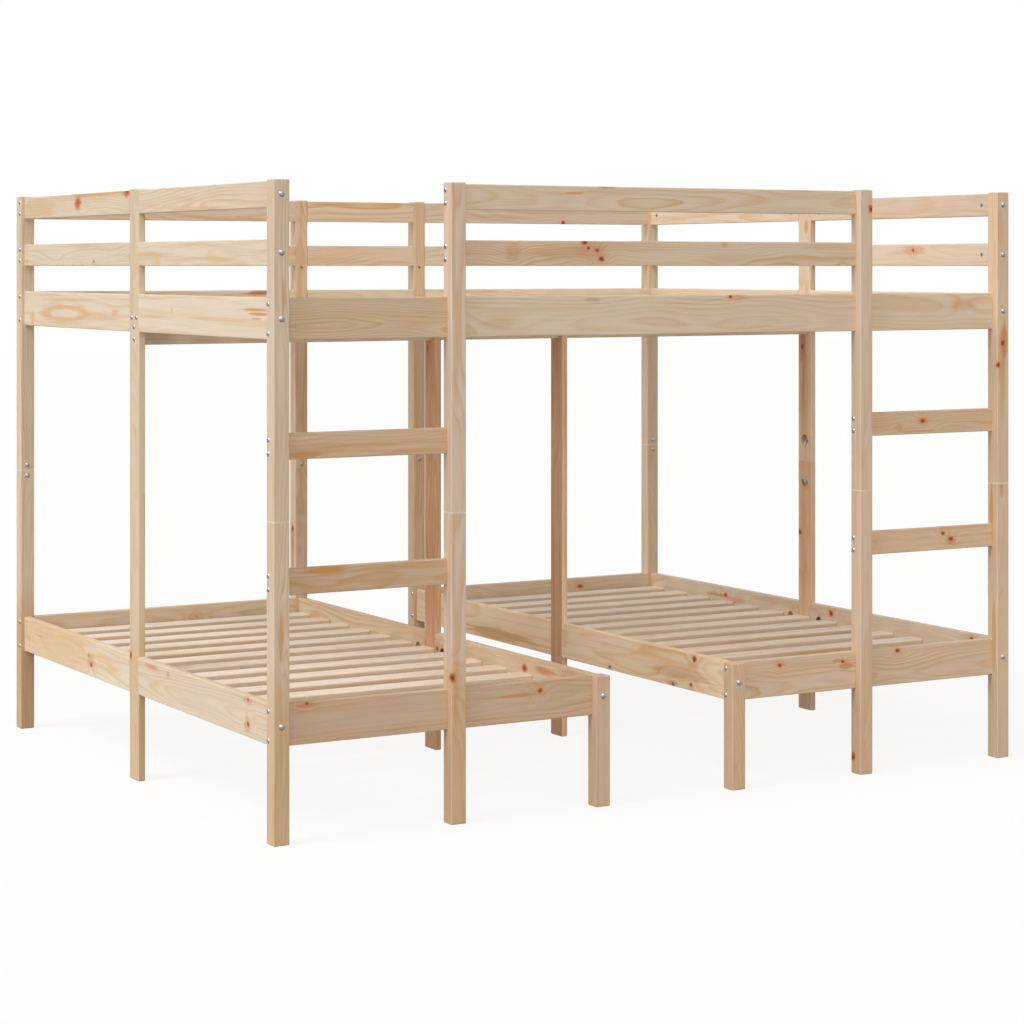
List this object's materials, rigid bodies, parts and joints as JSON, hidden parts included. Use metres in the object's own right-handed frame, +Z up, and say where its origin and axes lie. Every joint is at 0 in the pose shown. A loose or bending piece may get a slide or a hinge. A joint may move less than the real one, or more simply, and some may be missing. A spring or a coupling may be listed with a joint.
{
  "type": "triple bunk bed",
  "caption": "Bare pine triple bunk bed: two narrow beds with an aisle between them under one wide upper deck, with guard boards and a fixed ladder at each end of the front.",
  "frame": {"origin": "on the floor, under the middle of the bed's outer box", "axes": "+X along the front, to the right as seen by someone who faces the ladders; +Y from the ladders to the back; +Z up"},
  "size_m": [2.0612, 1.6822, 1.442],
  "materials": {
    "post_pine": "planed, unfinished",
    "board_pine": "planed, unfinished",
    "slat_pine": "planed, unfinished",
    "ledger_pine": "sawn, unfinished",
    "zinc_steel": "zinc plated"
  },
  "bodies": {
    "root": {"aisle_leg_left": "post_pine", "aisle_leg_right": "post_pine", "aisle_post_left": "post_pine", "aisle_post_right": "post_pine", "back_guards_centre": "board_pine", "back_guards_left": "board_pine", "back_guards_right": "board_pine", "barrel_nuts": "zinc_steel", "beam_cap": "board_pine", "beam_web": "board_pine", "deck_back_rails": "board_pine", "deck_front_rail_centre": "board_pine", "deck_front_rail_left": "board_pine", "deck_front_rail_right": "board_pine", "deck_ledgers": "ledger_pine", "deck_side_rails_left": "board_pine", "deck_side_rails_right": "board_pine", "deck_slats_back": "slat_pine", "deck_slats_front": "slat_pine", "frame_screws": "zinc_steel", "front_guards": "board_pine", "joint_rods": "zinc_steel", "ladder_post_left_lower": "post_pine", "ladder_post_left_upper": "post_pine", "ladder_post_right_lower": "post_pine", "ladder_post_right_upper": "post_pine", "ladder_rungs_left": "board_pine", "ladder_rungs_right": "board_pine", "ledger_screws": "zinc_steel", "lower_aisle_rails_left": "board_pine", "lower_aisle_rails_right": "board_pine", "lower_back_rails": "board_pine", "lower_front_rail_left": "board_pine", "lower_front_rail_right": "board_pine", "lower_ledgers": "ledger_pine", "lower_outer_rails_left": "board_pine", "lower_outer_rails_right": "board_pine", "lower_slats_left": "slat_pine", "lower_slats_right": "slat_pine", "post_back_inner_left_lower": "post_pine", "post_back_inner_left_upper": "post_pine", "post_back_inner_right_lower": "post_pine", "post_back_inner_right_upper": "post_pine", "post_back_left_lower": "post_pine", "post_back_left_upper": "post_pine", "post_back_right_lower": "post_pine", "post_back_right_upper": "post_pine", "post_front_left_lower": "post_pine", "post_front_left_upper": "post_pine", "post_front_right_lower": "post_pine", "post_front_right_upper": "post_pine", "seam_pins": "zinc_steel", "seam_screws": "zinc_steel", "side_guards_left": "board_pine", "side_guards_right": "board_pine", "side_post_left_lower": "post_pine", "side_post_left_upper": "post_pine", "side_post_right_lower": "post_pine", "side_post_right_upper": "post_pine", "side_rail_bolts": "zinc_steel"}
  },
  "joints": []
}
